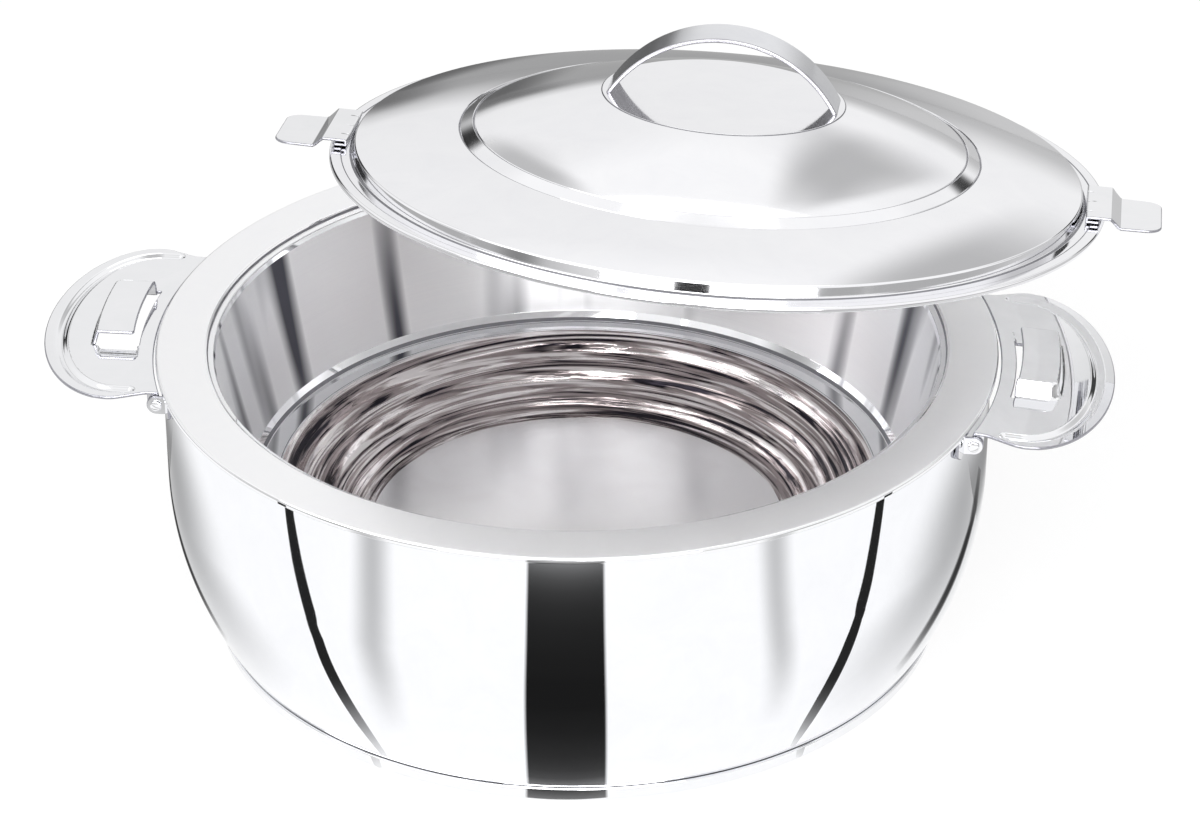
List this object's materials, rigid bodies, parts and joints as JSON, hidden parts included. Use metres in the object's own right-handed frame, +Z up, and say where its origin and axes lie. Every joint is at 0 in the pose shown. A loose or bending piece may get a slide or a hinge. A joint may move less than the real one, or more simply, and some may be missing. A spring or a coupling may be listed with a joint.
{
  "type": "insulated chapati casserole",
  "caption": "Double-walled steel serving bowl with two fold-down side handles and a lift-off insulated lid, raised and leaning, that locks by a short turn.",
  "frame": {"origin": "centre of the bowl's flat underside, on the bowl's axis, where it stands on the table", "axes": "+Z up along the bowl's axis; +X through the right-hand side handle; +Y away from the viewer, towards the side over which the raised lid leans"},
  "size_m": [0.3839, 0.3302, 0.1978],
  "materials": {
    "mirror_steel": "polished",
    "satin_steel": "satin",
    "foam": "matte"
  },
  "bodies": {
    "bowl": {"inner_liner": "satin_steel", "outer_shell": "mirror_steel", "base_cover": "satin_steel", "bowl_foam": "foam", "bracket_left_front": "satin_steel", "bracket_left_back": "satin_steel", "bracket_right_front": "satin_steel", "bracket_right_back": "satin_steel", "rivet_left_front": "mirror_steel", "rivet_left_back": "mirror_steel", "rivet_right_front": "mirror_steel", "rivet_right_back": "mirror_steel"},
    "handle_left": {"handle_left": "mirror_steel"},
    "handle_right": {"handle_right": "mirror_steel"},
    "lid_inner": {"lid_liner": "satin_steel"},
    "lid_core": {"lid_foam": "foam"},
    "lid": {"lid_shell": "mirror_steel", "lid_strap": "mirror_steel", "lid_clip_left": "mirror_steel", "lid_clip_right": "mirror_steel"}
  },
  "joints": [
    {"name": "handle_left_fold", "type": "hinge", "parent": "bowl", "child": "handle_left", "pos_m": [-0.138, 0, 0.0997], "axis": [0, -1, 0], "range_deg": [0, 70]},
    {"name": "handle_right_fold", "type": "hinge", "parent": "bowl", "child": "handle_right", "pos_m": [0.138, 0, 0.0997], "axis": [0, 1, 0], "range_deg": [-5.3, 64.7]},
    {"name": "lid_lower", "type": "hinge", "parent": "bowl", "child": "lid_inner", "pos_m": [-0.04463, 0.31332, -0.17993], "axis": [0.8083, -0.3299, -0.4876], "range_deg": [0, 10.44]},
    {"name": "lid_align", "type": "hinge", "parent": "lid_inner", "child": "lid_core", "pos_m": [0.04405, 0.05103, 0.14454], "axis": [0.0533, 0.1492, 0.9874], "range_deg": [0, 23]},
    {"name": "lid_turn", "type": "hinge", "parent": "lid_core", "child": "lid", "pos_m": [0.04405, 0.05103, 0.14454], "axis": [0.0533, 0.1492, 0.9874], "range_deg": [-16, 0]}
  ],
  "couplings": [
    {"joint": "lid_align", "follows": "lid_lower", "ratio": 2.1645}
  ]
}
